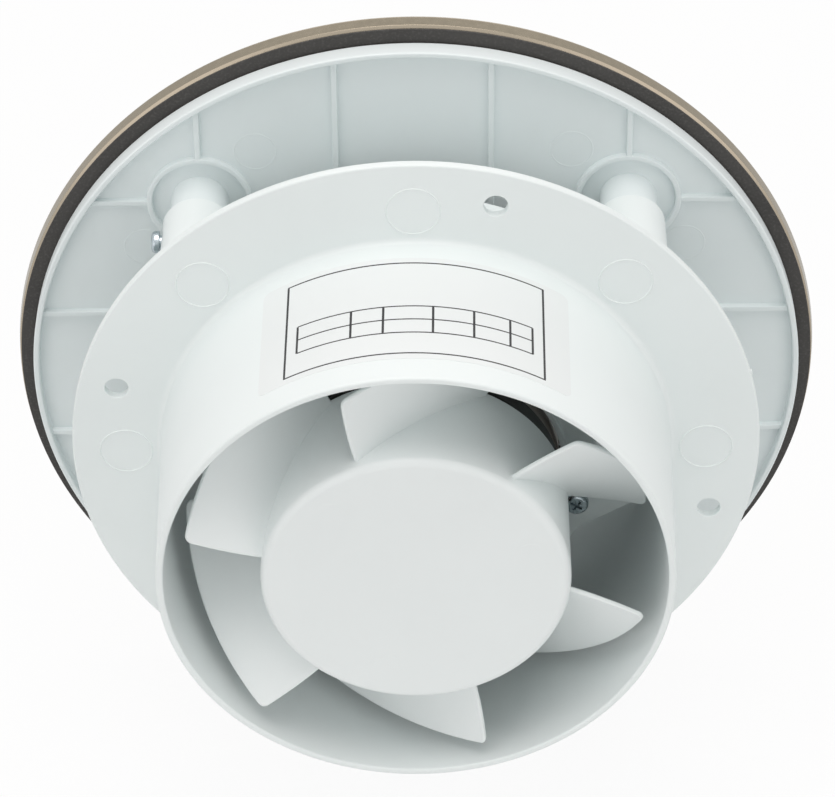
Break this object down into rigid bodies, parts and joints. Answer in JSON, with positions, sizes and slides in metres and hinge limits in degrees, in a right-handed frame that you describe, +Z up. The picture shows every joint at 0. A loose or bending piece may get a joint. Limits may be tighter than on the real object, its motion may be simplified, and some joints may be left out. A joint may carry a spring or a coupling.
{
  "type": "bathroom extractor fan",
  "caption": "Duct-mounted axial bathroom extractor fan: round spigot and wall flange with a motor-driven impeller, behind a round decorative panel on sliding posts.",
  "frame": {"origin": "on the fan's axis, in the plane of the flange's rear face, which lies on the wall", "axes": "+Y along the fan's axis into the duct, -Y into the room, +Z up the wall, +X completes the right-handed set"},
  "size_m": [0.1604, 0.073, 0.1604],
  "materials": {
    "white_moulding": "white satin moulding",
    "impeller_moulding": "white satin moulding",
    "panel_moulding": "white satin moulding",
    "champagne_finish": "satin champagne metallic film",
    "charcoal_sheet": "dark matt sheet",
    "black_nylon": "black moulding",
    "lamination_steel": "varnished laminations",
    "copper": "enamelled copper",
    "natural_nylon": "natural nylon",
    "cast_aluminium": "die-cast",
    "sintered_bronze": "oil-filled sintered bronze",
    "bright_steel": "ground",
    "zinc_plate": "bright zinc plate",
    "lead_sleeving": "soft insulation"
  },
  "bodies": {
    "housing": {"duct_housing": "white_moulding", "motor_rear_bell": "black_nylon", "motor_front_bell": "black_nylon", "stator_core": "lamination_steel", "coil_bobbin_1": "natural_nylon", "coil_bobbin_2": "natural_nylon", "coil_bobbin_3": "natural_nylon", "coil_bobbin_4": "natural_nylon", "winding_1": "copper", "winding_2": "copper", "winding_3": "copper", "winding_4": "copper", "shading_ring_1": "copper", "shading_ring_2": "copper", "shading_ring_3": "copper", "shading_ring_4": "copper", "rear_bush": "sintered_bronze", "front_bush": "sintered_bronze", "motor_screw_1": "zinc_plate", "motor_screw_2": "zinc_plate", "motor_screw_3": "zinc_plate", "motor_screw_4": "zinc_plate", "post_screw_1": "zinc_plate", "post_screw_2": "zinc_plate", "terminal_block": "natural_nylon", "terminal_screw_1": "zinc_plate", "terminal_screw_2": "zinc_plate", "cable_clamp": "natural_nylon", "clamp_screw_1": "zinc_plate", "clamp_screw_2": "zinc_plate", "motor_lead_1": "lead_sleeving", "motor_lead_2": "lead_sleeving"},
    "impeller_body": {"impeller": "impeller_moulding", "shaft": "bright_steel", "rotor_core": "lamination_steel", "rotor_rear_ring": "cast_aluminium", "rotor_front_ring": "cast_aluminium", "rear_spacer": "natural_nylon", "front_spacer": "natural_nylon"},
    "front_panel": {"panel_carrier": "panel_moulding", "face_backing": "charcoal_sheet", "face_plate": "champagne_finish"}
  },
  "joints": [
    {"name": "impeller_spin", "type": "hinge", "parent": "housing", "child": "impeller_body", "pos_m": [0, 0, 0], "axis": [0, -1, 0], "continuous": true},
    {"name": "panel_slide", "type": "slide", "parent": "housing", "child": "front_panel", "axis": [0, -1, 0], "range_m": [0, 0.03]}
  ]
}
